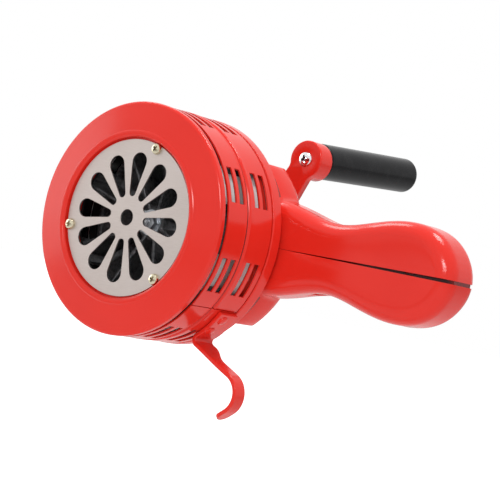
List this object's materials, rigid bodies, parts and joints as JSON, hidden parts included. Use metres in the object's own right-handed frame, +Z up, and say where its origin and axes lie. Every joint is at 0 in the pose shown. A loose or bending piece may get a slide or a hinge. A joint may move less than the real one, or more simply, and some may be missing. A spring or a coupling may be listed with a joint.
{
  "type": "hand crank siren",
  "caption": "Hand-cranked rotor siren: round slotted drum with a front grille, spring-returned trigger shutter, contoured side grip and a rear crank with a free-turning handle.",
  "frame": {"origin": "on the drum's axis, in the plane of its front face", "axes": "+X out along the grip, +Y back along the drum's axis towards the crank, +Z up with the trigger hook below; the siren sounds out of its front, towards -Y"},
  "size_m": [0.2024, 0.186, 0.1451],
  "materials": {
    "red_paint": "glossy red powder coat with a faint orange peel",
    "grille_steel": "brushed sheet steel",
    "yellow_zinc": "yellow passivated zinc plating on steel, tinted like brass",
    "bare_aluminium": "bare die casting, light grey",
    "rotor_aluminium": "bare die casting, darker and turned on the rim",
    "zinc_steel": "clear zinc plating on steel",
    "chrome": "bright nickel plating on steel",
    "shaft_steel": "ground steel",
    "gear_steel": "oiled, hobbed steel",
    "bearing_steel": "polished bearing steel",
    "spring_steel": "drawn spring wire",
    "bronze": "oil-filled sintered bronze",
    "black_plastic": "moulded black plastic, satin"
  },
  "bodies": {
    "frame": {"front_cap": "red_paint", "grille_plate": "grille_steel", "grille_screws": "yellow_zinc", "stator_drum": "bare_aluminium", "stator_screws": "zinc_steel", "back_plate": "red_paint", "shutter_stop_pins": "shaft_steel", "spring_post": "shaft_steel", "return_spring": "spring_steel", "rotor_bearing_front": "bearing_steel", "rotor_bearing_rear": "bearing_steel", "layshaft_bush_front": "bronze", "layshaft_bush_rear": "bronze", "crank_bush": "bronze", "housing_upper": "red_paint", "housing_lower": "red_paint", "case_screws": "zinc_steel", "grip_screws": "zinc_steel"},
    "shutter": {"shutter_sleeve": "red_paint", "trigger_hook": "red_paint", "hook_rivets": "red_paint"},
    "rotor": {"rotor": "rotor_aluminium", "rotor_shaft": "shaft_steel", "rotor_washer": "zinc_steel", "rotor_nut": "zinc_steel", "rotor_pinion": "gear_steel"},
    "layshaft": {"layshaft": "shaft_steel", "layshaft_gear": "gear_steel", "layshaft_pinion": "gear_steel"},
    "crank": {"crank_gear": "gear_steel", "crank_shaft": "shaft_steel", "crank_thrust_washer": "zinc_steel", "crank_arm": "red_paint", "crank_washer": "zinc_steel", "crank_nut": "zinc_steel", "handle_screw": "chrome", "handle_spindle": "shaft_steel"},
    "handle": {"crank_handle": "black_plastic"}
  },
  "joints": [
    {"name": "crank_turn", "type": "hinge", "parent": "frame", "child": "crank", "pos_m": [0, 0.0978, 0], "axis": [0, 1, 0], "continuous": true},
    {"name": "layshaft_spin", "type": "hinge", "parent": "frame", "child": "layshaft", "pos_m": [-0.02475, 0.0605, 0], "axis": [0, 1, 0], "continuous": true},
    {"name": "rotor_spin", "type": "hinge", "parent": "frame", "child": "rotor", "pos_m": [0, 0.045, 0], "axis": [0, 1, 0], "continuous": true},
    {"name": "handle_spin", "type": "hinge", "parent": "crank", "child": "handle", "pos_m": [0.02243, 0.099, 0.04724], "axis": [0.0344, 0.9968, 0.0724], "continuous": true},
    {"name": "shutter_turn", "type": "hinge", "parent": "frame", "child": "shutter", "pos_m": [0, 0.026, 0], "axis": [0, -1, 0], "range_deg": [0, 22.5], "stiffness_Nm_per_rad": 0.5, "springref_deg": -20.05, "deforming": ["return_spring"]}
  ],
  "couplings": [
    {"joint": "layshaft_spin", "follows": "crank_turn", "ratio": -4.5},
    {"joint": "rotor_spin", "follows": "crank_turn", "ratio": 20.25}
  ]
}
